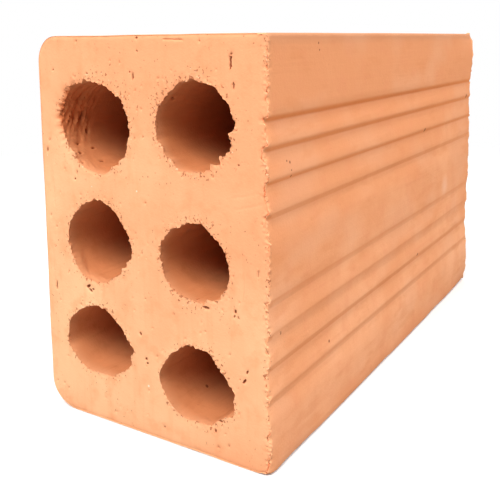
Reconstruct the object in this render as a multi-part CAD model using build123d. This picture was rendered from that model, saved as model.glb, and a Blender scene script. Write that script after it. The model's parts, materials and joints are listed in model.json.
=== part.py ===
from build123d import *

import os

# A hollow clay brick, extruded through a die, cut to length with a wire and fired.
# Its frame: X across the brick, with the scored side at +X; Y along the brick and its
# cores; Z up, with the lower bed at Z = 0. Sizes are in millimetres.

# The block of clay
length = 240.0
width = 103.0
height = 150.0

# The four long edges, as the mouth of the die rounds them
upper_plain_edge = 10.0
lower_plain_edge = 11.5
upper_scored_edge = 1.6
lower_scored_edge = 1.5

# The cores: two columns of three round holes that run from end to end. The four walls
# outside them are set by the die, and the webs between them are what is left.
core_radius = 15.0
plain_wall = 12.5
scored_wall = 15.3
upper_wall = 17.2
lower_wall = 13.8

# The rods that shape the cores hang on a bridge in the die, and the clay bends them.
# For each core: how far it sits off its place across and up, and its gain in radius.
plain_upper_drift = (0.7, -1.0, 1.4)
scored_upper_drift = (0.9, 1.1, 0.8)
plain_middle_drift = (0.3, -0.6, 0.5)
scored_middle_drift = (-0.4, -2.1, -0.6)
plain_lower_drift = (-1.3, 3.3, 0.0)
scored_lower_drift = (-0.6, -3.2, 0.0)

# The scoring: two bands of grooves that give plaster a grip. Each groove drops in under a
# rounded lip, then runs back out along a shallow slope to the lip of the next. The ribs of
# the die are worn, so for each groove: its run down to the next lip, its depth, its drop.
upper_band_below_top = 26.3
upper_grooves = ((9.6, 2.0, 1.7), (11.2, 2.0, 1.7), (10.8, 1.5, 1.4), (9.6, 1.3, 1.9))
lower_band_above_bed = 63.0
lower_grooves = ((11.7, 1.1, 2.8), (11.1, 1.2, 2.6), (11.4, 1.5, 2.8), (9.3, 1.1, 3.4))
lip_round = 2.6
root_round = 1.0
run_out_blend = 30.0


def groove_corners(first_lip, band):
    """The lip, the root and the end of each groove of one band, worked downward."""
    face_x = width / 2
    corners = []
    lip = first_lip
    for run, depth, drop in band:
        corners.append([(face_x, lip), (face_x - depth, lip - drop), (face_x, lip - run)])
        lip -= run
    return corners


def scored(section, first_lip, band):
    """The section with one band of grooves cut in its scored side, and their corners eased."""
    corners = groove_corners(first_lip, band)
    section = section - [make_face(Polyline(*groove, close=True)) for groove in corners]
    eased = [(lip, lip_round) for lip, _, _ in corners]
    eased += [(root, root_round) for _, root, _ in corners]
    eased.append((corners[-1][-1], run_out_blend))
    for corner, radius in eased:
        section = fillet(section.vertices().sort_by_distance(corner)[0], radius)
    return section


def block_section():
    """The outside of the brick in section, with its four long edges rounded."""
    block = Pos(0, height / 2) * Rectangle(width, height)
    edge_radii = {
        (-width / 2, height): upper_plain_edge,
        (-width / 2, 0): lower_plain_edge,
        (width / 2, height): upper_scored_edge,
        (width / 2, 0): lower_scored_edge,
    }
    for corner, radius in edge_radii.items():
        block = fillet(block.vertices().sort_by_distance(corner)[0], radius)
    return block


def cores():
    """The six round cores, each where its rod had drifted to."""
    plain_x = -width / 2 + plain_wall + core_radius
    scored_x = width / 2 - scored_wall - core_radius
    upper_z = height - upper_wall - core_radius
    lower_z = lower_wall + core_radius
    middle_z = (upper_z + lower_z) / 2
    places = [
        (plain_x, upper_z, plain_upper_drift),
        (scored_x, upper_z, scored_upper_drift),
        (plain_x, middle_z, plain_middle_drift),
        (scored_x, middle_z, scored_middle_drift),
        (plain_x, lower_z, plain_lower_drift),
        (scored_x, lower_z, scored_lower_drift),
    ]
    return [Pos(x + across, z + up) * Circle(core_radius + gain) for x, z, (across, up, gain) in places]


def hollow_brick():
    """The whole brick: its section, extruded half its length each way."""
    section = scored(block_section(), height - upper_band_below_top, upper_grooves)
    section = scored(section, lower_band_above_bed, lower_grooves)
    return extrude(Plane.XZ * (section - cores()), length / 2, both=True)


os.makedirs("parts", exist_ok=True)
export_step(hollow_brick(), "parts/hollow_brick.step")
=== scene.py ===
import json
import math

import bmesh
import bpy
import numpy as np
from mathutils import Matrix, Vector
from mathutils.geometry import delaunay_2d_cdt


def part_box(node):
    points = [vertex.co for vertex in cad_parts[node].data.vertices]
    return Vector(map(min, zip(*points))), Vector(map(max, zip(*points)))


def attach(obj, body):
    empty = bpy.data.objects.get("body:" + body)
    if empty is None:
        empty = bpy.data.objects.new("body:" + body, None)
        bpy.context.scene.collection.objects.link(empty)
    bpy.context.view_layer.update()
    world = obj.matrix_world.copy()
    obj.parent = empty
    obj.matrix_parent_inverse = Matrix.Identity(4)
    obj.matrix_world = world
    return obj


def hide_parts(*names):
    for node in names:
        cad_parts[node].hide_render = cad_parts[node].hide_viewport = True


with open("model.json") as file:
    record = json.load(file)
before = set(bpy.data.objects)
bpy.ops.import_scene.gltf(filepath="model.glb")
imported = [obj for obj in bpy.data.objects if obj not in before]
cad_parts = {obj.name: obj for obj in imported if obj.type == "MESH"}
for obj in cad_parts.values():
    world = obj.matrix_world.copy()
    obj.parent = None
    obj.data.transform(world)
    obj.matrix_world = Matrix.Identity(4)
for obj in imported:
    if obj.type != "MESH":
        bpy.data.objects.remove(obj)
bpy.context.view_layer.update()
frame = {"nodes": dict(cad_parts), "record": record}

# A hollow clay brick as it came out of the kiln. The CAD brick gives its section, its
# cores and its length. Here it gets its torn rims, its pits and its fired clay.
# The clay is shaped in millimetres, and the finished mesh is in metres.
MM = 0.001
low_corner, high_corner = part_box("hollow_brick")
PLAIN_SIDE, SCORED_SIDE = low_corner.x / MM, high_corner.x / MM
FRONT, BACK = low_corner.y / MM, high_corner.y / MM
TOP = high_corner.z / MM
LENGTH = BACK - FRONT
CORES = {
    mount["name"]: (mount["pos_m"][0] / MM, mount["pos_m"][2] / MM, mount["dims"]["r_mm"])
    for mount in frame["record"]["mounts"]
    if mount["kind"] == "bore"
}

# How far in from the scored side its grooves and edges lie at most, how far round a core
# its relief reaches, and how near two places are that count as one. All in mm.
SCORED_BAND = 4
CORE_REACH = 12
TOUCHING = 1e-6


# What the clay went through

# How the front rim of each core strays from its circle: (angle, half width, outward mm).
# Angles are in degrees, from the scored side, upward. A narrow entry is a nick or a burr,
# and a wide one is a side of the hole that sagged or broke away.
RIM_SHAPE = {
    "core_plain_upper": [
        (118, 14, 1.3), (140, 22, 1.6), (168, 14, 0.9), (-158, 12, -0.6), (-136, 14, -1.3),
        (-116, 8, -0.4), (-78, 16, 1.1), (-52, 10, 0.6), (-30, 14, 1.2), (-5, 14, 0.9),
        (14, 10, 0.4), (34, 10, 0.6), (99, 8, 0.3),
    ],
    "core_scored_upper": [
        (172, 16, 0.4), (125, 12, -0.7), (92, 6, 0.9), (79, 6, -0.4), (57, 10, 0.7), (31, 9, 0.8),
        (11, 9, 1.2), (3, 3, 0.6), (-7, 7, -1.1), (-31, 5, -1.2), (-40, 4, -2.2), (-47, 3, 0.3),
        (-57, 7, -1.6), (-69, 7, -0.8), (-80, 8, -0.5), (-93, 12, -0.8), (-114, 8, 0.5),
        (-129, 8, -0.8), (-147, 8, -0.5), (-164, 9, 0.6),
    ],
    "core_plain_middle": [
        (129, 12, -0.6), (84, 26, 1.1), (36, 9, -0.4), (-4, 18, 1.2), (-22, 4, -0.9),
        (-36, 8, -1.2), (-62, 22, -1.2), (-120, 18, 1.1),
    ],
    "core_scored_middle": [
        (160, 20, 0.9), (132, 4, 0.5), (115, 8, -0.9), (98, 6, 0.6), (76, 10, 0.7),
        (50, 14, -0.6), (26, 12, -0.4), (-20, 24, 0.7), (-68, 4, -0.5), (-105, 20, -1.2),
        (-80, 14, -0.6),
    ],
    "core_plain_lower": [
        (160, 24, 1.8), (52, 20, -1.3), (28, 12, -0.4), (2, 5, 0.9), (2, 14, 1.3), (-20, 12, 1.1),
        (-52, 12, -0.6), (-90, 34, -2.9), (-170, 16, 2.1),
    ],
    "core_scored_lower": [
        (-177, 24, 1.5), (127, 10, -0.5), (102, 10, 0.4), (42, 22, -1.4), (3, 12, 1.5),
        (-6, 10, 0.6), (-20, 12, 2.4), (-33, 4, -0.4), (-52, 14, -1.1), (-90, 26, -1.8),
    ],
}

# Where a front rim is worn round instead of sharp: (angle, half width, how far back mm).
SOFT_RIM = {
    "core_plain_upper": [(-95, 45, 0.9)],
    "core_scored_upper": [(-105, 35, 0.7)],
    "core_plain_middle": [(-95, 50, 1.0)],
    "core_scored_middle": [(-120, 40, 0.6)],
    "core_plain_lower": [(-95, 60, 1.0)],
    "core_scored_lower": [(-105, 55, 1.0)],
}

# Where the wall inside a core was torn by the rod, from its front rim inward:
# (angle, half width, how far in mm, how rough mm, how brown).
TORN_WALL = {
    "core_plain_upper": [(158, 44, 17, 1.1, 1.0), (-120, 40, 8, 0.3, 0.15)],
    "core_scored_upper": [(130, 40, 6, 0.35, 0.25)],
    "core_plain_middle": [(-110, 50, 9, 0.35, 0.15)],
    "core_scored_lower": [(-60, 40, 8, 0.3, 0.15)],
}

# Pits in the wall of a core: (angle, how far in, half width round the core, half length, depth).
WALL_PITS = {
    "core_plain_upper": [
        (-150, 6.0, 0.4, 0.7, 0.6), (-140, 12.5, 0.4, 0.8, 0.8), (-135, 4.0, 0.5, 0.8, 0.8),
        (-114, 11.0, 0.4, 1.0, 0.7), (-119, 1.7, 0.4, 0.5, 0.6), (-166, 13.0, 1.0, 0.8, 0.8),
    ],
    "core_scored_upper": [(145, 6.6, 0.5, 0.8, 0.6), (-97, 3.4, 0.3, 0.6, 0.4)],
    "core_scored_middle": [(-93, 3.6, 0.3, 1.2, 0.5)],
}

# How far the fine mesh of a core goes in, in mm: as a rule, and where more shows.
FINE_WALL = 4.0
DEEPER_FINE_WALL = {"core_plain_upper": 17.0, "core_scored_upper": 8.0}

# Where crumbs and specks lie farther round a front rim: (angle, half width, how far mm).
SPECKLED = {
    "core_plain_upper": [(62, 48, 5.0), (160, 40, 1.5), (-80, 40, 1.2)],
    "core_scored_upper": [(125, 60, 4.0), (60, 30, 2.0), (-60, 40, 1.5)],
    "core_plain_middle": [(85, 60, 2.6)],
    "core_scored_middle": [(95, 60, 2.2), (-100, 50, 2.4)],
    "core_plain_lower": [(90, 60, 1.2)],
    "core_scored_lower": [(60, 60, 1.6), (-50, 30, 2.0)],
}

# Pits and dragged grains on the front end: (x, z, half width, half height, lean, depth).
FRONT_PITS = [
    (-48.4, 106.6, 0.35, 0.9, -12, 0.6),
    (-42.8, 137.3, 0.3, 0.4, 0, 0.5),
    (-30.0, 148.0, 0.3, 0.4, 0, 0.4),
    (-25.4, 136.1, 0.35, 0.35, 0, 0.6),
    (-3.5, 135.6, 0.26, 1.1, -6, 0.8),
    (-4.9, 137.0, 0.3, 0.35, 0, 0.6),
    (-1.3, 148.9, 0.45, 0.45, 0, 0.6),
    (-1.3, 144.3, 0.3, 0.4, 20, 0.5),
    (37.4, 141.0, 0.26, 2.7, -3, 1.0),
    (38.4, 133.2, 0.24, 1.1, 0, 0.8),
    (-34.0, 96.3, 0.35, 0.4, 0, 0.7),
    (-30.0, 54.6, 0.9, 0.5, 35, 1.2),
    (-29.0, 53.0, 0.4, 0.9, 60, 1.0),
    (-27.6, 53.6, 0.5, 0.35, 0, 0.9),
    (-46.9, 51.9, 0.26, 1.7, 0, 0.7),
    (-4.4, 40.3, 0.4, 0.6, 20, 0.9),
    (-2.0, 30.9, 0.42, 0.45, 0, 1.0),
    (-1.4, 29.2, 0.45, 0.35, 0, 0.9),
    (41.2, 32.8, 0.35, 1.0, -35, 1.0),
    (42.4, 36.4, 0.28, 0.7, -20, 0.8),
    (5.6, 5.6, 0.3, 0.4, 0, 0.6),
    (28.9, 10.4, 0.35, 0.6, -10, 0.9),
    (37.8, 57.2, 0.35, 0.6, -8, 1.0),
    (37.4, 55.4, 0.25, 0.6, -20, 0.6),
    (39.0, 55.2, 0.25, 0.5, 25, 0.6),
    (40.0, 107.5, 0.3, 0.3, 0, 0.6),
    (25.6, 56.0, 1.3, 0.35, -6, 1.0),
    (31.2, 14.6, 1.0, 0.3, 14, 0.9),
    (-32.9, 98.9, 0.24, 1.0, 0, 0.5),
    (47.0, 72.0, 0.22, 2.2, 0, 0.4),
]

# Faint lines that the wire or a finger drew on the front end: (x, z, x, z, half width, depth).
FRONT_LINES = [
    (10.7, 148.3, 18.0, 148.1, 0.22, 0.4),
    (41.3, 77.7, 41.0, 61.4, 0.2, 0.16),
    (37.4, 96.4, 48.9, 99.1, 0.25, 0.07),
    (38.5, 92.5, 48.9, 95.5, 0.25, 0.1),
    (-27.5, 91.5, -26.8, 84.0, 0.2, 0.16),
    (-46.0, 98.0, -45.6, 84.5, 0.2, 0.12),
]

# Tiny pits on the scored side, drawn only as dark flecks of painted shade, with no relief: (y, z,
# radius), in mm.
SIDE_SPECKS = [
    (-104.2, 107.2, 0.7), (-106.1, 107.9, 0.5), (-104.0, 104.5, 0.45), (-103.8, 102.4, 0.6),
    (-110.5, 48.8, 0.6), (-111.2, 49.6, 0.5), (-73.0, 32.0, 0.8), (35.2, 102.6, 1.3),
    (110.4, 114.2, 1.6), (28.7, 40.0, 1.1), (-85.0, 146.4, 0.6), (-84.2, 144.0, 0.5),
]

# Chips out of the front edge of the scored side: (height, half height, depth), and how far
# from the front they can be, all in mm.
EDGE_CHIPS = [
    (139.5, 1.3, 0.9), (129.0, 1.2, 0.8), (122.5, 1.0, 0.7), (113.0, 1.4, 1.0), (110.5, 0.7, 0.7),
    (98.0, 0.6, 0.5), (91.0, 1.3, 0.9), (62.0, 0.8, 0.9), (45.0, 0.9, 0.8), (29.5, 1.3, 1.0),
    (25.0, 0.7, 0.6), (14.0, 1.5, 1.0), (6.0, 0.8, 0.7),
]
CHIPS_REACH = 9

# Flecks of another colour, as (x, y, z, radius) in mm: grains of lime, a pale bloom on the
# scored side, and the dark end of a crack in a core.
PALE_FLECKS = [
    (-1.3, -120, 20.3, 0.6), (-3.6, -120, 94.6, 0.5), (-25.5, -120, 94.2, 0.4),
    (-48.2, -120, 104.4, 0.4),
]
BLOOM_PATCH = (51.5, 71.0, 68.0, 8.0)
DARK_FLECKS = [(10.6, -99.3, 14.2, 0.9)]

# Tiny pits beyond those: how many on each end, how large at most and how clear of the
# sides and of the rims in mm, and the seeds that scatter them over the front and the back.
STRAY_PITS = 120
STRAY_PIT = 0.28
CLEAR_OF_SIDES, CLEAR_OF_RIMS = 2, 1.0
FRONT_SEED, BACK_SEED = 5, 6

# The lower front corner on the scored side is worn: how far across, along and up, and
# how much is gone at the corner itself, in mm.
WORN_CORNER = (12, 6, 9, 0.7)

# The back end's edge on the scored side was handled while the clay was soft: (height,
# outward), from the bed up, and how far along and across the brick that reaches, in mm.
HANDLED_EDGE = [
    (0, -1.6), (4, -0.7), (10, 0.4), (20, 0.5), (32, -0.6), (46, -0.9), (60, -0.7), (100, -0.9),
    (126, -1.3), (134, -0.7), (141, -0.7), (146, -1.6), (150, -2.8),
]
HANDLED_REACH, HANDLED_WIDTH = 24, 12

# Toward that end the grooves are partly filled: what share of them at the end itself, and
# the heights between which they lie, in mm.
FILLED_GROOVES = 0.5
GROOVED_HEIGHTS = (15, 130)

# The plain side leans a little: how far out it stands at the bed and at the top, and how
# far in the clay leans with it, in mm.
PLAIN_LEAN = (1.5, -1.3)
LEANING_WIDTH = 11


# Lumps in the clay

class Lumps:
    """Smooth lumps and hollows from -1 to 1, the same on every run."""

    def __init__(self, seed, cells=32):
        self.cells = cells
        self.heights = np.random.default_rng(seed).uniform(-1, 1, (cells, cells, cells))

    def __call__(self, points, size):
        """The height at each point, for lumps of one size, or of (x, y, z) sizes, in mm."""
        at = points / np.asarray(size, float)
        cell = np.floor(at).astype(int)
        ease = at - cell
        ease = ease * ease * (3 - 2 * ease)
        total = np.zeros(len(points))
        for corner in np.ndindex(2, 2, 2):
            share = np.prod(np.where(corner, ease, 1 - ease), axis=1)
            i, j, k = ((cell + corner) % self.cells).T
            total += share * self.heights[i, j, k]
        return total

    def rough(self, points, size, layers=3):
        """Lumps with smaller lumps on them."""
        size = np.asarray(size, float)
        return sum(self(points + 17.3 * n, size / 2**n) / 2**n for n in range(layers))


sag, crumble, grain, tear = (Lumps(seed) for seed in (3, 11, 23, 41))


def fade(distance, reach):
    """1 at no distance, dying away over about this reach."""
    return np.exp(-np.maximum(distance, 0) / reach)


def hump(offset, half_width):
    """A smooth hump: 1 in the middle, a quarter at its half width."""
    return np.exp(-((offset / half_width) ** 2) * 1.4)


def swing(angle, middle):
    """How far round from another angle an angle is, between -180 and 180 degrees."""
    return (angle - middle + 180) % 360 - 180


def from_lowest(angle):
    """The same, from the lowest place of a core."""
    return (angle + 270) % 360 - 180


def around(angle, middle, half_width):
    """A hump round a core, at an angle in degrees."""
    return hump(swing(angle, middle), half_width)


def humps(angle, places):
    """What a list of (angle, half width, mm) adds up to round a core."""
    return sum(mm * around(angle, middle, half_width) for middle, half_width, mm in places)


# The section, read from the CAD brick

def section_outline():
    """The outer outline of the CAD brick's front end, in order, as (x, z)."""
    shell = bmesh.new()
    shell.from_mesh(frame["nodes"]["hollow_brick"].data)
    bmesh.ops.remove_doubles(shell, verts=shell.verts, dist=1e-6)
    shell.normal_update()
    on_end = {face for face in shell.faces if face.normal.y < -0.99}
    beside = {}
    for edge in shell.edges:
        if sum(face in on_end for face in edge.link_faces) == 1:
            for one, other in (edge.verts, reversed(edge.verts)):
                beside.setdefault(one, []).append(other)
    start = min(beside, key=lambda vert: (vert.co.x, vert.co.z))
    walk = [start, beside[start][0]]
    while walk[-1] is not start:
        walk.append(next(vert for vert in beside[walk[-1]] if vert is not walk[-2]))
    outline = np.array([(vert.co.x / MM, vert.co.z / MM) for vert in walk])
    shell.free()
    return outline


def respaced(outline, fine, coarse):
    """The closed outline with new points, close together on the scored side."""
    steps = np.linalg.norm(np.diff(outline, axis=0), axis=1)
    along = np.concatenate([[0], np.cumsum(steps)])
    dense = np.linspace(0, along[-1], 6000)
    path = np.stack([np.interp(dense, along, outline[:, axis]) for axis in (0, 1)], axis=1)
    spacing = np.where(path[:, 0] > SCORED_SIDE - SCORED_BAND, fine, coarse)[:-1]
    count = np.concatenate([[0], np.cumsum(np.diff(dense) / spacing)])
    wanted = np.linspace(0, count[-1], int(round(count[-1])) + 1)[:-1]
    return np.stack([np.interp(wanted, count, path[:, axis]) for axis in (0, 1)], axis=1)


def circle(x, z, radius, count):
    """A circle of the section, as a closed loop of so many points."""
    turn = np.arange(count) * math.tau / count
    return np.stack([x + radius * np.cos(turn), z + radius * np.sin(turn)], axis=1)


def thinned(loop, longest, sharpest):
    """Which points of a loop to keep deep in the brick, where less detail shows: one at
    least every so many mm, and one wherever the loop has turned by so many degrees."""
    ahead = np.roll(loop, -1, axis=0) - loop
    heading = np.unwrap(np.arctan2(ahead[:, 1], ahead[:, 0]))
    length = np.linalg.norm(ahead, axis=1)
    kept, run, from_heading = [0], 0.0, heading[0]
    for place in range(1, len(loop)):
        run += length[place - 1]
        turned = abs(math.degrees(heading[place] - from_heading))
        if run >= longest or turned >= sharpest:
            kept.append(place)
            run, from_heading = 0.0, heading[place]
    return np.array(kept)


def nearest(points, outline):
    """The distance from each point to the nearest point of an outline, and which it is."""
    distance = np.empty(len(points))
    which = np.empty(len(points), int)
    at_once = 4000
    for first in range(0, len(points), at_once):
        part = slice(first, first + at_once)
        gaps = np.hypot(points[part, :1] - outline[:, 0], points[part, 1:] - outline[:, 1])
        which[part] = gaps.argmin(axis=1)
        distance[part] = gaps.min(axis=1)
    return distance, which


def inside(points, outline):
    """Which points lie inside a closed outline."""
    x, z = points[:, :1], points[:, 1:]
    x0, z0 = outline.T
    x1, z1 = np.roll(outline, -1, axis=0).T
    level = (z0 > z) != (z1 > z)
    with np.errstate(divide="ignore", invalid="ignore"):
        crossing = x < x0 + (z - z0) * (x1 - x0) / (z1 - z0)
    return (level & crossing).sum(axis=1) % 2 == 1


# The relief

def pitted(across, up, pits):
    """How deep the pits go at each place on a face."""
    depth = np.zeros(len(across))
    for x, z, half_width, half_height, lean, deep in pits:
        turn = math.radians(lean)
        dx, dz = across - x, up - z
        wide = (dx * math.cos(turn) + dz * math.sin(turn)) / half_width
        tall = (dz * math.cos(turn) - dx * math.sin(turn)) / half_height
        depth = np.maximum(depth, deep * np.exp(-((wide**2 + tall**2) ** 1.5) * 0.7))
    return depth


def scratched(across, up, lines):
    """How deep the drawn lines go at each place on a face."""
    depth = np.zeros(len(across))
    for x0, z0, x1, z1, half_width, deep in lines:
        run = math.hypot(x1 - x0, z1 - z0)
        ux, uz = (x1 - x0) / run, (z1 - z0) / run
        along = (across - x0) * ux + (up - z0) * uz
        aside = (up - z0) * ux - (across - x0) * uz
        past = np.maximum(np.maximum(-along, along - run), 0)
        depth = np.maximum(depth, deep * hump(np.hypot(aside, past), 1.2 * half_width))
    return depth


def stray_pits(seed):
    """Tiny pits, scattered over an end and thicker near its rims."""
    shake = np.random.default_rng(seed)
    pits = []
    while len(pits) < STRAY_PITS:
        x = shake.uniform(PLAIN_SIDE + CLEAR_OF_SIDES, SCORED_SIDE - CLEAR_OF_SIDES)
        z = shake.uniform(CLEAR_OF_SIDES, TOP - CLEAR_OF_SIDES)
        gap = min(math.hypot(x - cx, z - cz) - radius for cx, cz, radius in CORES.values())
        if gap > CLEAR_OF_RIMS and shake.random() < 0.12 + math.exp(-gap / 3):
            size = STRAY_PIT * shake.uniform(0.5, 1)
            pits.append((x, z, size, size * shake.uniform(1, 2), shake.uniform(-25, 25), size * 1.3))
    return pits


# What the shaping leaves on the clay for its colours, painted light and shade among them:
# hollows (painted shade), crumbs that stand out (painted highlight), torn wall, crumbly
# edge, ends paler towards the bed and the plain side, worn rim (painted shade), undersides
# of the grooves' lips (painted shade), top edge (painted shade), pale ends of the skin, and
# how deep in a core a place lies.
MARKS = (
    "hollow", "crumb", "torn", "rough", "paler_low_and_plain", "worn", "scored", "top_edge_shade", "dusted",
    "core_depth",
)


class Clay:
    """The points of the brick, clean at first, and what has been done to them."""

    def __init__(self, points, outline):
        self.clean = points
        self.moved = points.copy()
        self.from_front = points[:, 1] - FRONT
        self.from_back = BACK - points[:, 1]
        self.from_end = np.minimum(self.from_front, self.from_back)
        self.on_front = self.from_front < TOUCHING
        self.on_back = self.from_back < TOUCHING
        self.on_scored = points[:, 0] > SCORED_SIDE - SCORED_BAND
        self.skin_gap, which = nearest(points[:, [0, 2]], outline)
        self.on_skin = self.skin_gap < TOUCHING
        tangent = np.roll(outline, -1, axis=0) - np.roll(outline, 1, axis=0)
        tangent /= np.linalg.norm(tangent, axis=1)[:, None]
        outward = np.stack([tangent[:, 1], -tangent[:, 0]], axis=1)
        if ((outline - outline.mean(axis=0)) * outward).sum() < 0:
            outward = -outward
        self.outward = outward[which]
        for mark in MARKS:
            setattr(self, mark, np.zeros(len(points)))

    def tear_cores(self):
        """The rims and walls of the cores."""
        for name, (core_x, core_z, radius) in CORES.items():
            dx, dz = self.clean[:, 0] - core_x, self.clean[:, 2] - core_z
            reach = np.hypot(dx, dz)
            near = np.flatnonzero(reach - radius < CORE_REACH)
            spots = self.clean[near]
            beyond = np.maximum(reach[near] - radius, 0)
            depth, end_depth = self.from_front[near], self.from_end[near]
            on_front, on_back = self.on_front[near], self.on_back[near]
            angle = np.degrees(np.arctan2(dz, dx))[near]
            outward = np.stack([dx, dz], axis=1)[near] / reach[near][:, None]
            on_wall = beyond < 0.01
            rim_x, rim_z = core_x + radius * outward[:, 0], core_z + radius * outward[:, 1]
            rim = np.stack([rim_x, spots[:, 1], rim_z], axis=1)

            soft = humps(angle, SOFT_RIM[name])
            stray = 0.6 * soft * fade(beyond, 2.2) * fade(depth, 2.2)
            for middle, half_width, mm in RIM_SHAPE[name]:
                sideways = fade(beyond, 1.6 + 0.14 * half_width)
                inward = fade(depth, 1.2 + 0.6 * half_width)
                stray += mm * around(angle, middle, half_width) * sideways * inward
            teeth = 0.32 * crumble(rim, 0.6) + 0.42 * crumble.rough(rim + 9, 1.3, 2)
            teeth += 0.35 * tear(rim, 3.0)
            teeth *= np.clip(1 - 0.6 * soft, 0.3, 1) * (1 + 1.1 * sag(rim, 7))
            stray += teeth * fade(beyond, 0.9) * fade(end_depth, 1.0)
            stray += 0.16 * grain.rough(spots, (5, 16, 5), 4) * fade(beyond, 0.6)

            for middle, half_width, far, rough, brown in TORN_WALL.get(name, []):
                arc = radius * np.radians(swing(angle, middle))
                slanting = np.stack([arc, depth + 0.35 * arc, arc], axis=1)
                scales = tear.rough(slanting, (4.6, 1.3, 40), 2)
                bristle = crumble.rough(rim + 20, 0.75, 2)
                whiskers = 1.1 + 3.2 * np.clip(0.35 + 1.4 * bristle, 0, 1)
                round_here = around(angle, middle, half_width)
                patch = round_here * hump(depth, far)
                deeper = round_here * hump(depth - 0.5 * far, 0.6 * far)
                stray += rough * scales * deeper * fade(beyond, 0.6)
                stray += 0.55 * brown * bristle * round_here * fade(beyond, 1.4) * fade(depth, 1.2)
                sunk = (1.6 + 0.9 * bristle) * fade(beyond, 1.5) * fade(depth, 3.5)
                self.moved[near, 1] += brown * round_here * sunk
                self.torn[near] += brown * patch * np.exp(-beyond / whiskers)
                # Painted shade: dark in the torn wall's sunk streaks and in the sunk fringe on the
                # front.
                streaks = np.clip(scales - 0.2, 0, 1) * deeper * on_wall
                flecked = np.clip(bristle, 0, 1) * fade(beyond, 1.8) * patch * on_front
                self.hollow[near] += brown * (1.1 * streaks + 0.4 * flecked)
                # Painted highlight on the torn wall's ridges that stand out.
                self.crumb[near] += 0.35 * brown * np.clip(-scales - 0.3, 0, 1) * deeper * on_wall
            round_wall = radius * np.radians(from_lowest(angle))
            pits = [
                (radius * math.radians(from_lowest(place)), into, wide, long, 0, deep)
                for place, into, wide, long, deep in WALL_PITS.get(name, [])
            ]
            dug = pitted(round_wall, depth, pits) * on_wall
            stray += dug
            # Painted shade in the wall's pits.
            self.hollow[near] += 1.2 * dug
            self.moved[near, 0] += outward[:, 0] * stray
            self.moved[near, 2] += outward[:, 1] * stray

            ragged = 0.30 * np.clip(crumble.rough(spots + 3, (0.8, 0.8, 0.8), 2), -0.7, 1)
            ragged *= np.clip(1 - 0.5 * soft, 0.2, 1) * fade(beyond, 1.5)
            slumped = 0.6 * soft * fade(beyond, 1.1) * fade(depth, 2.0)
            self.moved[near, 1] += slumped + ragged * on_front - ragged * on_back
            speckled = humps(angle, SPECKLED[name])
            at_rim = hump(beyond, 1.8 + speckled * on_front) * fade(end_depth, 0.8)
            # Painted shade on the worn round part of a rim, to hold down the light it catches.
            worn = np.clip(1.2 * soft, 0, 1) * fade(beyond, 0.9) * fade(depth, 3.0)
            self.worn[near] = np.maximum(self.worn[near], worn)
            self.rough[near] = np.maximum(self.rough[near], at_rim * (0.75 + 0.5 * sag(rim, 6)))
            # Painted shade where the ragged rim is sunk.
            self.hollow[near] += 1.2 * np.clip(ragged - 0.08, 0, 1) * at_rim
            self.core_depth[near[on_wall]] = end_depth[on_wall]

    def cut_ends(self):
        """The ends, where the wire went through: nearly flat and pitted, with painted shade in the pits
        and lines, and paler towards the bed and the plain side.
        """
        facing = np.where(self.on_front, 1.0, 0.0) - np.where(self.on_back, 1.0, 0.0)
        uneven = 0.16 * sag(self.clean, 26) + 0.04 * tear.rough(self.clean, (2.0, 1.0, 6.0), 2)
        self.moved[:, 1] += facing * (0.25 + uneven)
        x, z = self.clean[:, 0], self.clean[:, 2]
        ends = ((self.on_front, FRONT_SEED, FRONT_PITS), (self.on_back, BACK_SEED, []))
        for side, seed, pits in ends:
            depth = pitted(x, z, pits + stray_pits(seed)) * side
            self.moved[:, 1] += depth * facing
            # Painted shade in the pits.
            self.hollow += 1.5 * depth
        depth = scratched(x, z, FRONT_LINES) * self.on_front
        self.moved[:, 1] += depth
        # Painted shade in the drawn lines.
        self.hollow += depth
        toward_plain = (SCORED_SIDE - x) / (SCORED_SIDE - PLAIN_SIDE)
        # Paler towards the bed, though not right at it, and towards the plain side, drifting at random.
        self.paler_low_and_plain = 0.68 * (1 - z / TOP) - 0.45 * fade(z, 9) + 0.34 * toward_plain**1.5
        self.paler_low_and_plain += 0.12 * sag.rough(self.clean + 40, 30, 3)

    def press_skin(self):
        """The long sides, as the die left them, and their crumbling edges at the ends."""
        spots, on_scored, on_skin = self.clean, self.on_scored, self.on_skin
        dent = 0.14 + 0.10 * sag.rough(spots, (22, 70, 22), 2)
        dent += 0.02 * grain.rough(spots, (3, 5, 3), 2)
        dent += 0.35 * fade(self.from_end, 0.5) * ~on_scored
        edge = spots.copy()
        edge[on_scored, 0] = SCORED_SIDE
        arris = fade(self.from_end, 0.9) * on_scored
        bite = crumble(edge + 5, 0.6) + 1.1 * crumble.rough(edge + 15, (1.3, 1.3, 1.5), 2)
        chips = 1.1 * np.clip(tear(edge + 9, (3.2, 2.6, 3.0)) - 0.25, 0, 1)
        placed = sum(deep * hump(spots[:, 2] - z, half) for z, half, deep in EDGE_CHIPS)
        chips += placed * (self.from_front < CHIPS_REACH)
        dent += arris * (0.5 * bite + chips)
        wavy = np.clip(sag(edge + 60, 15), -0.05, 1)
        dent += 0.7 * wavy * fade(spots[:, 2], 2.5) * on_scored
        dent *= fade(self.skin_gap, 1.0)
        self.moved[:, 0] -= self.outward[:, 0] * dent
        self.moved[:, 2] -= self.outward[:, 1] * dent

        far_off = 50
        gap = np.where(on_scored, self.skin_gap, far_off)
        crumbly = crumble.rough(spots + 25, (0.8, 0.8, 0.8), 2)
        crumbled = 0.4 * crumbly * fade(gap, 1.5) + 0.3 * fade(self.skin_gap, 0.5)
        crumbled += 0.5 * chips * fade(gap, 1.0)
        self.moved[:, 1] += crumbled * self.on_front
        at_edge = fade(gap, 1.5) * fade(self.from_end, 0.9)
        self.rough = np.maximum(self.rough, at_edge * (0.5 + 0.5 * sag(edge, 8)))
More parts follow.
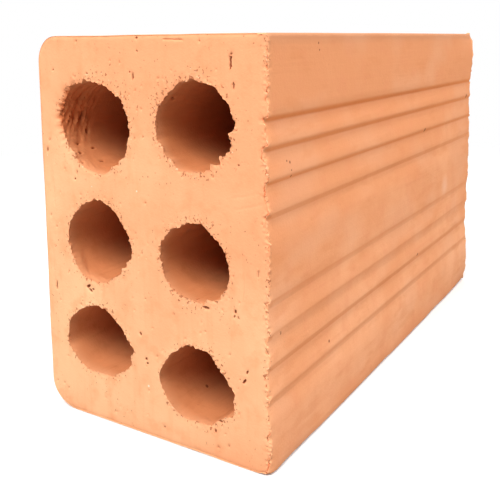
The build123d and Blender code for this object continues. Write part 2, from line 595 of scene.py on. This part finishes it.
        # Painted shade where the crumbly edge is sunk or chipped.
        missing = 0.4 * np.clip(crumbly - 0.3, 0, 1) + 0.5 * np.clip(chips - 0.45, 0, 1)
        self.hollow += at_edge * missing
        # Painted highlight where the crumbly edge stands out.
        self.crumb += 0.8 * at_edge * np.clip(-crumbly - 0.1, 0, 1)

        # Painted shade along the top edge of the scored side, where its rounding catches the light.
        from_top_edge = np.hypot(np.maximum(SCORED_SIDE - spots[:, 0], 0), TOP - spots[:, 2])
        self.top_edge_shade = fade(from_top_edge, 1.5)
        scored_end, other_end = 0.8 * fade(self.from_end, 0.8), fade(self.from_end, 1.5)
        self.dusted = np.where(on_scored, scored_end, other_end) * on_skin
        # Painted shade: deeper orange on the grooves' lips where they face down, away from the light.
        facing_down = -self.outward[:, 1] * on_scored * on_skin * (spots[:, 2] > 5)
        self.scored = np.clip((facing_down - 0.12) / 0.5, 0, 1) * (1 - fade(self.from_end, 1.2))

    def wear_corners(self):
        """The knocked lower corner, the filled grooves, the handled back edge and the lean of
        the plain side."""
        across, along, up, gone = WORN_CORNER
        x, z = self.clean[:, 0], self.clean[:, 2]
        share = np.clip(1 - (SCORED_SIDE - x) / across, 0, 1) ** 2
        share *= np.clip(1 - self.from_front / along, 0, 1) ** 2 * np.clip(1 - z / up, 0, 1)
        self.moved[:, 2] += gone * share
        self.moved[:, 0] -= gone * share

        lowest, highest = GROOVED_HEIGHTS
        grooved = self.on_scored & self.on_skin & (z > lowest) & (z < highest)
        filled = FILLED_GROOVES * np.clip(self.clean[:, 1] / BACK, 0, 1)
        self.moved[:, 0] += np.where(grooved, filled * (SCORED_SIDE - x), 0)
        heights, outward = zip(*HANDLED_EDGE)
        share = fade(self.from_back, HANDLED_REACH)
        share *= np.clip(1 - (SCORED_SIDE - x) / HANDLED_WIDTH, 0, 1)
        self.moved[:, 0] += np.interp(z, heights, outward) * share

        share = np.clip(1 - (x - PLAIN_SIDE) / LEANING_WIDTH, 0, 1)
        at_bed, at_top = PLAIN_LEAN
        self.moved[:, 0] -= share * (at_bed + (at_top - at_bed) * z / TOP)


# The mesh

# Faces that meet at more than this, in radians, show a sharp edge.
SHARP_TURN = 0.8


def graded(first, growth, longest, until):
    """Places that start close together and spread out, up to a distance."""
    places, step = [0.0], first
    while places[-1] + step < until:
        places.append(places[-1] + step)
        step = min(step * growth, longest)
    return np.array(places)


def scattered(outline, spacing, near_spacing, near_reach, seed):
    """Points spread over an end of the brick, closer together near its rims and its
    scored edge."""
    shake = np.random.default_rng(seed)
    picked = []
    for step, is_near in ((near_spacing, True), (spacing, False)):
        rows = np.arange(0, TOP, step * math.sqrt(0.75))
        columns = np.arange(PLAIN_SIDE, SCORED_SIDE, step)
        grid_x, grid_z = np.meshgrid(columns, rows)
        grid_x = grid_x + step / 2 * (np.arange(len(rows)) % 2)[:, None]
        grid = np.stack([grid_x.ravel(), grid_z.ravel()], axis=1)
        grid += shake.uniform(-0.16, 0.16, grid.shape) * step
        gaps = [np.hypot(grid[:, 0] - x, grid[:, 1] - z) - radius for x, z, radius in CORES.values()]
        rim_gap = np.min(gaps, axis=0)
        clear = 0.6 * near_spacing
        grid, rim_gap = grid[rim_gap > clear], rim_gap[rim_gap > clear]
        edge_gap, which = nearest(grid, outline)
        by_scored_edge = outline[which, 0] > SCORED_SIDE - SCORED_BAND
        near = (rim_gap < near_reach) | ((edge_gap < near_reach) & by_scored_edge)
        grid = grid[(edge_gap > clear) & (near == is_near)]
        picked.append(grid[inside(grid, outline)])
    return np.concatenate(picked)


def pit_points(pits, lines):
    """Extra points round each pit and along each line, so that the mesh can hold them."""
    spots = []
    for x, z, half_width, half_height, lean, _ in pits:
        turn = math.radians(lean)
        for scale, count in ((0, 1), (0.45, 6), (0.9, 10), (1.4, 12)):
            for n in range(count):
                at = math.tau * n / count
                wide, tall = scale * half_width * math.cos(at), scale * half_height * math.sin(at)
                spots.append((
                    x + wide * math.cos(turn) - tall * math.sin(turn),
                    z + wide * math.sin(turn) + tall * math.cos(turn),
                ))
    for x0, z0, x1, z1, half_width, _ in lines:
        run = math.hypot(x1 - x0, z1 - z0)
        for step in np.linspace(0, 1, int(run / 0.5) + 2):
            for aside in (-1.4 * half_width, 0, 1.4 * half_width):
                spots.append((
                    x0 + step * (x1 - x0) - aside * (z1 - z0) / run,
                    z0 + step * (z1 - z0) + aside * (x1 - x0) / run,
                ))
    return np.array(spots)


class BrickMesh:
    """The clean brick as one closed mesh, fine at its front and coarser deep inside."""

    # The three finishes; the points round a core, and one in how many of them goes on deep
    # inside; the longest step along the brick, and how near two points of an end may lie (mm).
    SKIN, CORE, CUT = range(3)
    ROUND_CORE, ONE_IN = 312, 4
    LONGEST_STEP, CLOSEST = 9.0, 0.22

    def __init__(self):
        self.outline = respaced(section_outline(), fine=0.38, coarse=0.9)
        self.points, self.faces, self.finish = [], [], []
        self.total = 0

    def add_points(self, flat, y):
        """Adds section points at one place along the brick, and says where they start."""
        self.points.append(np.stack([flat[:, 0], np.full(len(flat), float(y)), flat[:, 1]], axis=1))
        self.total += len(flat)
        return self.total - len(flat)

    def add_faces(self, corners, finish):
        """Adds faces of one finish, each as the numbers of its corners."""
        self.faces += np.asarray(corners).tolist()
        self.finish += [finish] * len(corners)

    def add_wall(self, loop, kept, near, finish):
        """The wall that runs the length of the brick along one loop of the section: fine
        rows at the front, then thinner ones. Says where its two end rings start."""
        from_front = near[-1] + 0.7 + graded(0.8, 1.18, self.LONGEST_STEP, LENGTH / 2)
        from_back = graded(0.9, 1.3, self.LONGEST_STEP, LENGTH / 2 - 12)
        rows = [self.add_points(loop, FRONT + y) for y in near]
        deep = np.concatenate([FRONT + from_front[from_front < LENGTH / 2], BACK - from_back[::-1]])
        thin = [self.add_points(loop[kept], y) for y in deep]
        for starts, count in ((rows, len(loop)), (thin, len(kept))):
            here = np.arange(count)
            there = (here + 1) % count
            for a, b in zip(starts, starts[1:]):
                self.add_faces(np.stack([a + here, a + there, b + there, b + here], axis=1), finish)

        triangles = []
        for place, one in enumerate(kept):
            other = kept[place + 1] if place + 1 < len(kept) else len(loop)
            a = thin[0] + place
            b = thin[0] + (place + 1) % len(kept)
            half = (one + other) // 2
            for step in range(one, other):
                across = [rows[-1] + step, rows[-1] + (step + 1) % len(loop)]
                triangles.append(across + [a if step < half else b])
            triangles.append([rows[-1] + half % len(loop), b, a])
        self.add_faces(triangles, finish)
        return rows[0], thin[-1]

    def add_end(self, loops, starts, y, fill):
        """One flat end, filled with triangles between its outline and its cores."""
        ring = np.concatenate(loops)
        places = np.concatenate([start + np.arange(len(loop)) for start, loop in zip(starts, loops)])
        belongs = np.repeat(np.arange(len(loops)), [len(loop) for loop in loops])
        edges, first = [], 0
        for loop in loops:
            here = np.arange(len(loop))
            edges += (np.stack([here, (here + 1) % len(loop)], axis=1) + first).tolist()
            first += len(loop)
        flat = np.concatenate([ring, fill])
        made = delaunay_2d_cdt(flat.tolist(), edges, [], 1, 1e-5, True)
        source = np.array([ids[0] for ids in made[3]])
        triangles = source[np.array(made[2])]
        on_loop = np.where(triangles < len(ring), belongs[np.minimum(triangles, len(ring) - 1)], -1)
        one_loop = (on_loop[:, 0] == on_loop[:, 1]) & (on_loop[:, 1] == on_loop[:, 2])
        stray = one_loop & (on_loop[:, 0] > 0)
        bridging = np.flatnonzero(one_loop & (on_loop[:, 0] == 0))
        stray[bridging] = ~inside(flat[triangles[bridging]].mean(axis=1), loops[0])
        fill_start = self.add_points(fill, y)
        numbers = np.concatenate([places, fill_start + np.arange(len(fill))])
        self.add_faces(numbers[triangles[~stray]], self.CUT)

    def build(self):
        """Lays out the clean mesh, works the clay and returns a Blender mesh."""
        loops = [self.outline] + [circle(*core, self.ROUND_CORE) for core in CORES.values()]
        kept = [thinned(self.outline, longest=2.6, sharpest=9)]
        kept += [np.arange(0, self.ROUND_CORE, self.ONE_IN)] * len(CORES)
        near = [graded(0.34, 1.12, 0.7, 3.4)]
        near += [graded(0.34, 1.1, 0.62, DEEPER_FINE_WALL.get(name, FINE_WALL)) for name in CORES]
        finishes = [self.SKIN] + [self.CORE] * len(CORES)
        starts = [self.add_wall(*wall) for wall in zip(loops, kept, near, finishes)]

        front_pits = pit_points(FRONT_PITS + stray_pits(FRONT_SEED), FRONT_LINES)
        fill = scattered(self.outline, spacing=1.05, near_spacing=0.38, near_reach=2.2, seed=7)
        crowding, _ = nearest(fill, front_pits)
        fill = np.concatenate([fill[crowding > self.CLOSEST], front_pits])
        gaps = [np.hypot(fill[:, 0] - x, fill[:, 1] - z) - radius for x, z, radius in CORES.values()]
        rim_gap = np.min(gaps, axis=0)
        edge_gap, _ = nearest(fill, self.outline)
        fill = fill[(rim_gap > self.CLOSEST) & (edge_gap > self.CLOSEST)]
        self.add_end(loops, [front for front, back in starts], FRONT, fill)
        coarse_loops = [loop[some] for loop, some in zip(loops, kept)]
        back_fill = scattered(coarse_loops[0], spacing=2.1, near_spacing=1.0, near_reach=1.8, seed=8)
        self.add_end(coarse_loops, [back for front, back in starts], BACK, back_fill)

        clay = Clay(np.concatenate(self.points), self.outline)
        clay.tear_cores()
        clay.cut_ends()
        clay.press_skin()
        clay.wear_corners()
        return self.finished(clay)

    def finished(self, clay):
        """The worked clay as a Blender mesh, with its finishes, its marks and sharp edges."""
        mesh = bpy.data.meshes.new("brick")
        mesh.from_pydata((clay.moved * MM).tolist(), [], self.faces)
        mesh.polygons.foreach_set("material_index", self.finish)
        for mark in MARKS:
            values = getattr(clay, mark).astype(np.float32)
            mesh.attributes.new(mark, "FLOAT", "POINT").data.foreach_set("value", values)
        shell = bmesh.new()
        shell.from_mesh(mesh)
        bmesh.ops.recalc_face_normals(shell, faces=shell.faces)
        for face in shell.faces:
            face.smooth = True
        for edge in shell.edges:
            edge.smooth = edge.calc_face_angle(0) < SHARP_TURN
        shell.to_mesh(mesh)
        shell.free()
        return mesh


# Shader maths, written as plain expressions

class Wire:
    """One socket of a material. Adding to it, taking from it or multiplying it, from either
    side, adds a Math node."""

    def __init__(self, finish, socket):
        self.finish = finish
        self.socket = socket

    def maths(self, operation, first, second):
        """A Math node on two numbers or wires."""
        return self.finish.node("ShaderNodeMath", {"operation": operation}, {0: first, 1: second})

    def __add__(self, other):
        return self.maths("ADD", self, other)

    def __radd__(self, other):
        return self.maths("ADD", other, self)

    def __sub__(self, other):
        return self.maths("SUBTRACT", self, other)

    def __rsub__(self, other):
        return self.maths("SUBTRACT", other, self)

    def __mul__(self, other):
        return self.maths("MULTIPLY", self, other)

    def __rmul__(self, other):
        return self.maths("MULTIPLY", other, self)


class Finish:
    """One material, or the world, being wired up."""

    def __init__(self, owner):
        self.owner = owner
        owner.use_nodes = True
        self.tree = owner.node_tree
        self.tree.nodes.clear()

    def node(self, kind, settings=None, values=None, output=0):
        """Adds a node: its type, its settings, and the values or wires of its sockets."""
        made = self.tree.nodes.new(kind)
        for name, value in (settings or {}).items():
            setattr(made, name, value)
        for name, value in (values or {}).items():
            if isinstance(value, Wire):
                self.tree.links.new(value.socket, made.inputs[name])
            else:
                made.inputs[name].default_value = value
        return Wire(self, made.outputs[output]) if made.outputs else None

    def noise(self, size, detail=2.0, roughness=0.5, stretch=(1, 1, 1)):
        """Cloudy noise about 0.5, with clouds of about this size in metres."""
        spot = self.node("ShaderNodeTexCoord", output="Object")
        spot = self.node("ShaderNodeVectorMath", {"operation": "MULTIPLY"}, {0: spot, 1: stretch})
        sockets = {"Vector": spot, "Scale": 1 / size, "Detail": detail, "Roughness": roughness}
        return self.node("ShaderNodeTexNoise", None, sockets)

    def between(self, low, high, value):
        """0 below low, 1 above high, and smooth between."""
        sockets = {"Value": value, "From Min": low, "From Max": high}
        return self.node("ShaderNodeMapRange", {"interpolation_type": "SMOOTHSTEP"}, sockets)

    def worked(self, name):
        """What the shaping of the clay left at this place of the mesh."""
        return self.node("ShaderNodeAttribute", {"attribute_name": name}, output="Fac")

    def fleck(self, fleck, crisp=0.6, squash=(1, 1, 1)):
        """1 inside a small fleck, given as (x, y, z, radius) in mm, and 0 outside it. A
        squash below 1 lets it reach farther along that axis."""
        *middle, radius = (mm * MM for mm in fleck)
        middle = [place * share for place, share in zip(middle, squash)]
        spot = self.node("ShaderNodeTexCoord", output="Object")
        spot = self.node("ShaderNodeVectorMath", {"operation": "MULTIPLY"}, {0: spot, 1: squash})
        sockets = {0: spot, 1: middle}
        gap = self.node("ShaderNodeVectorMath", {"operation": "DISTANCE"}, sockets, output="Value")
        return 1 - self.between(crisp * radius, radius, gap)

    def mix(self, share, first, second):
        """A colour between two others."""
        sockets = {0: share, 6: first, 7: second}
        return self.node("ShaderNodeMix", {"data_type": "RGBA"}, sockets, output=2)


def shade(red, green, blue):
    """A colour as it looks on a screen, 0 to 255, as the shader wants it."""
    def linear(level):
        level /= 255
        return level / 12.92 if level <= 0.04045 else ((level + 0.055) / 1.055) ** 2.4
    return (linear(red), linear(green), linear(blue), 1)


# The ways in which a pattern is drawn out: a small share makes it long along that axis.
ALONG_BRICK = (1, 0.04, 1)
UP_THE_END = (1, 1, 0.08)
ACROSS_GROOVES = (0.05, 1, 1)

# The colours of painted shade in pits, pale grains and painted highlight on crumbs, torn clay, dark
# grains, painted shade on worn rims and painted shade along the scored side's top edge.
PIT_SHADE = shade(132, 62, 32)
PALE_GRAIN_AND_HIGHLIGHT = shade(255, 214, 176)
TORN_CLAY = shade(194, 106, 60)
SPECK = shade(176, 102, 64)
WORN_RIM_SHADE = shade(220, 150, 106)
TOP_EDGE_SHADE = shade(160, 118, 92)


def clay_tones(clay, body, pale, deep, drag_way, drag, speckle):
    """The colour of fired clay: clouds, mottling, drag lines and grains of sand."""
    # The clouds also drift paler towards the bed and the plain side.
    cloudy = (clay.noise(0.03, 3, 0.55) + clay.worked("paler_low_and_plain")) * 0.5
    colour = clay.mix(clay.between(0.32, 0.72, cloudy), body, pale)
    mottle = clay.between(0.48, 0.72, clay.noise(0.008, 3, 0.6))
    lines = clay.between(0.5, 0.8, clay.noise(0.0022, 2, 0.5, drag_way))
    colour = clay.mix(mottle * 0.4 + lines * drag, colour, deep)
    grains = clay.between(0.66, 0.73, clay.noise(0.0012, 2, 0.6))
    gathered = clay.between(0.42, 0.62, clay.noise(0.014, 2, 0.5))
    return clay.mix(grains * gathered * speckle, colour, SPECK)


def clay_surface(clay, colour, sandy, drag_way, drag):
    """Torn clay, painted highlight on crumbs, pale and dark grains near the rims, painted shade on worn
    rims, along the top edge and in hollows, over the clay's colour, and its sandy, matt surface.
    """
    rough = clay.worked("rough")
    colour = clay.mix(clay.between(0.05, 0.8, clay.worked("torn")) * 0.85, colour, TORN_CLAY)
    # Painted shade on worn rims.
    colour = clay.mix(clay.worked("worn") * 0.9, colour, WORN_RIM_SHADE)
    # Painted shade along the top edge.
    colour = clay.mix(clay.worked("top_edge_shade") * 0.9, colour, TOP_EDGE_SHADE)
    near_rim = clay.between(0.03, 0.25, rough)
    sound = 1 - clay.between(0.1, 0.5, clay.worked("torn"))
    pale = clay.between(0.70, 0.77, clay.noise(0.0011, 2, 0.6) + rough * 0.13) * near_rim
    # Pale grains near the rims, and a painted highlight on the crumbs that stand out.
    crumbly = clay.between(0.1, 0.9, clay.worked("crumb") + pale)
    colour = clay.mix(crumbly * sound * 0.6, colour, PALE_GRAIN_AND_HIGHLIGHT)
    dark = clay.between(0.665, 0.72, clay.noise(0.0011, 1, 0.5) + rough * 0.13) * near_rim
    broken_up = clay.between(0.4, 0.52, clay.noise(0.0026, 2, 0.6))
    colour = clay.mix(dark * broken_up * 0.85, colour, SPECK)
    # Painted shade in the hollows.
    colour = clay.mix(clay.between(0.15, 0.9, clay.worked("hollow")) * 0.9, colour, PIT_SHADE)
    sand = clay.noise(0.0008, 2, 0.6)
    waves = clay.noise(0.004, 3, 0.6)
    lines = clay.noise(0.0016, 2, 0.5, drag_way)
    crumbs = clay.noise(0.0011, 2, 0.6) * rough
    height = sand * sandy + waves * 0.8 + lines * drag + crumbs * 1.6
    normal = clay.node("ShaderNodeBump", None, {"Height": height, "Strength": 0.35, "Distance": 0.0004})
    shader = clay.node(
        "ShaderNodeBsdfPrincipled", None,
        {"Base Color": colour, "Roughness": 0.93, "Specular IOR Level": 0.12, "Normal": normal},
    )
    clay.node("ShaderNodeOutputMaterial", None, {"Surface": shader})
    return clay.owner


def die_skin():
    """The long sides, smoothed by the die: orange, with faint lines along the brick."""
    clay = Finish(bpy.data.materials.new("die_skin"))
    tones = shade(237, 158, 109), shade(250, 181, 135), shade(236, 153, 108)
    colour = clay_tones(clay, *tones, ALONG_BRICK, 0.25, 0.2)
    bloom = clay.between(0.46, 0.68, clay.noise(0.024, 2, 0.5, (1, 0.6, 1)))
    smoked = clay.between(0.52, 0.68, clay.noise(0.011, 3, 0.6, (1, 0.5, 1.6)))
    colour = clay.mix(bloom * 0.4, colour, shade(240, 174, 133))
    colour = clay.mix(smoked * 0.35, colour, shade(230, 148, 96))
    colour = clay.mix(clay.worked("dusted") * 0.8, colour, shade(250, 188, 140))
    # Painted shade under the grooves' lips.
    colour = clay.mix(clay.worked("scored") * 0.8, colour, shade(240, 146, 84))
    colour = clay.mix(clay.fleck(BLOOM_PATCH, 0.1) * 0.45, colour, shade(250, 198, 164))
    # Painted shade: dark flecks where tiny pits are, with no relief.
    for y, z, radius in SIDE_SPECKS:
        speck = clay.fleck((SCORED_SIDE, y, z, radius), 0.3, ACROSS_GROOVES)
        colour = clay.mix(speck * 0.85, colour, PIT_SHADE)
    return clay_surface(clay, colour, 0.5, ALONG_BRICK, 0.5)


def core_wall():
    """The inside of a core, in painted shade: nearer the cut end's colour at its rim, and deeper orange
    farther in, darkest deep inside.
    """
    clay = Finish(bpy.data.materials.new("core_wall"))
    tones = shade(206, 128, 80), shade(214, 137, 89), shade(193, 115, 69)
    colour = clay_tones(clay, *tones, ALONG_BRICK, 0.35, 0.4)
    depth = clay.worked("core_depth")
    # Painted shade that deepens into the core: lighter in its first 6 mm, darker from there to 60 mm.
    colour = clay.mix(1 - clay.between(0.0, 6.0, depth), colour, shade(218, 146, 100))
    colour = clay.mix(clay.between(6.0, 60.0, depth) * 0.8, colour, shade(190, 116, 80))
    for fleck in DARK_FLECKS:
        colour = clay.mix(clay.fleck(fleck) * 0.8, colour, shade(120, 60, 36))
    return clay_surface(clay, colour, 0.8, ALONG_BRICK, 0.7)


def wire_cut():
    """The ends, where the wire cut: paler, with faint marks up and down."""
    clay = Finish(bpy.data.materials.new("wire_cut"))
    tones = shade(246, 169, 122), shade(253, 193, 145), shade(236, 152, 104)
    colour = clay_tones(clay, *tones, UP_THE_END, 0.22, 0.85)
    for fleck in PALE_FLECKS:
        colour = clay.mix(clay.fleck(fleck) * 0.8, colour, shade(255, 232, 204))
    return clay_surface(clay, colour, 0.6, UP_THE_END, 0.3)


# The studio

# The camera, as fitted to the photo: its place in metres, how far it is turned left, down
# and sideways in degrees, its sensor and lens in mm, and its upward shift.
EYE = (0.16421, -0.31309, 0.14761)
HEADING, PITCH, ROLL = 31.797, 9.852, 0.613
SENSOR, LENS, LENS_SHIFT = 36.0, 51.8, -0.17

# How far the floor reaches each way in metres, and how much light it throws back. How bright
# the room is at the level of the floor and overhead. And the lamps: (place, size, power).
FLOOR_REACH, FLOOR_BOUNCE = 6, 0.36
ROOM_LOW, ROOM_HIGH = 0.1, 0.8
LAMPS = {
    "key": ((0.08, -1.05, 1.28), 0.85, 26.7),
    "side": ((1.3, 0.1, 1.2), 0.8, 14.5),
    "back_fill": ((-1.2, 1.3, 0.7), 1.2, 10),
}
LAMPS_AIM = (0, 0, 0.07)


def lamp(name, place, size, power):
    """A square soft lamp, turned to the middle of the brick."""
    light = bpy.data.lights.new(name, "AREA")
    light.shape = "SQUARE"
    light.size = size
    light.energy = power
    made = bpy.data.objects.new(name, light)
    made.location = place
    made.rotation_mode = "QUATERNION"
    made.rotation_quaternion = (Vector(LAMPS_AIM) - Vector(place)).to_track_quat("-Z", "Y")
    bpy.context.scene.collection.objects.link(made)


def sky(low, high):
    """A room that is darker at the level of the floor than overhead, and plain white
    where the camera or a reflection sees it."""
    bpy.context.scene.world = bpy.data.worlds.new("studio")
    room = Finish(bpy.context.scene.world)
    toward = room.node("ShaderNodeTexCoord", output="Generated")
    height = room.node("ShaderNodeSeparateXYZ", None, {0: toward}, output="Z")
    level = low + room.between(-0.1, 0.9, height) * (high - low)
    soft = room.node("ShaderNodeBackground", None, {"Color": (1, 1, 1, 1), "Strength": level})
    white = room.node("ShaderNodeBackground", None, {"Color": (1, 1, 1, 1), "Strength": 1.0})
    camera_ray = room.node("ShaderNodeLightPath", output="Is Camera Ray")
    glossy_ray = room.node("ShaderNodeLightPath", output="Is Glossy Ray")
    clear_ray = room.node("ShaderNodeLightPath", output="Is Transmission Ray")
    seen = camera_ray + glossy_ray + clear_ray
    both = room.node("ShaderNodeMixShader", None, {0: seen, 1: soft, 2: white})
    room.node("ShaderNodeOutputWorld", None, {"Surface": both})


def floor(bounce):
    """A white floor that keeps the brick's shadow near it, and is plain white farther
    out. It throws less light back at the brick than it shows to the camera."""
    white = Finish(bpy.data.materials.new("studio_floor"))
    seen = white.node("ShaderNodeLightPath", output="Is Camera Ray")
    level = white.mix(seen, (bounce, bounce, bounce, 1), (0.9, 0.9, 0.9, 1))
    near = white.node("ShaderNodeBsdfDiffuse", None, {"Color": level})
    far = white.node("ShaderNodeEmission", None, {"Color": (1, 1, 1, 1), "Strength": 1.0})
    spot = white.node("ShaderNodeTexCoord", output="Object")
    reach = white.node("ShaderNodeVectorMath", {"operation": "LENGTH"}, {0: spot}, output="Value")
    far_out = seen * white.between(0.15, 0.7, reach)
    both = white.node("ShaderNodeMixShader", None, {0: far_out, 1: near, 2: far})
    white.node("ShaderNodeOutputMaterial", None, {"Surface": both})
    mesh = bpy.data.meshes.new("floor")
    corners = [(x * FLOOR_REACH, y * FLOOR_REACH, 0) for x, y in ((-1, -1), (1, -1), (1, 1), (-1, 1))]
    mesh.from_pydata(corners, [], [(0, 1, 2, 3)])
    mesh.materials.append(white.owner)
    made = bpy.data.objects.new("floor", mesh)
    bpy.context.scene.collection.objects.link(made)


def camera():
    """The camera where the brick was seen from, a little right of its front end."""
    heading, pitch, roll = math.radians(HEADING), math.radians(PITCH), math.radians(ROLL)
    sight = bpy.data.cameras.new("camera")
    sight.sensor_width = SENSOR
    sight.lens = LENS
    sight.shift_y = LENS_SHIFT
    sight.clip_start = 0.01
    made = bpy.data.objects.new("camera", sight)
    level = Matrix.Rotation(heading, 4, "Z") @ Matrix.Rotation(math.pi / 2 - pitch, 4, "X")
    made.matrix_world = Matrix.Translation(EYE) @ level @ Matrix.Rotation(-roll, 4, "Z")
    bpy.context.scene.collection.objects.link(made)
    bpy.context.scene.camera = made


brick = bpy.data.objects.new("brick", BrickMesh().build())
bpy.context.scene.collection.objects.link(brick)
for finish in (die_skin(), core_wall(), wire_cut()):
    brick.data.materials.append(finish)
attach(brick, "root")
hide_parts("hollow_brick")

camera()
floor(FLOOR_BOUNCE)
sky(ROOM_LOW, ROOM_HIGH)
for name, settings in LAMPS.items():
    lamp(name, *settings)
bpy.context.scene.view_settings.view_transform = "Standard"
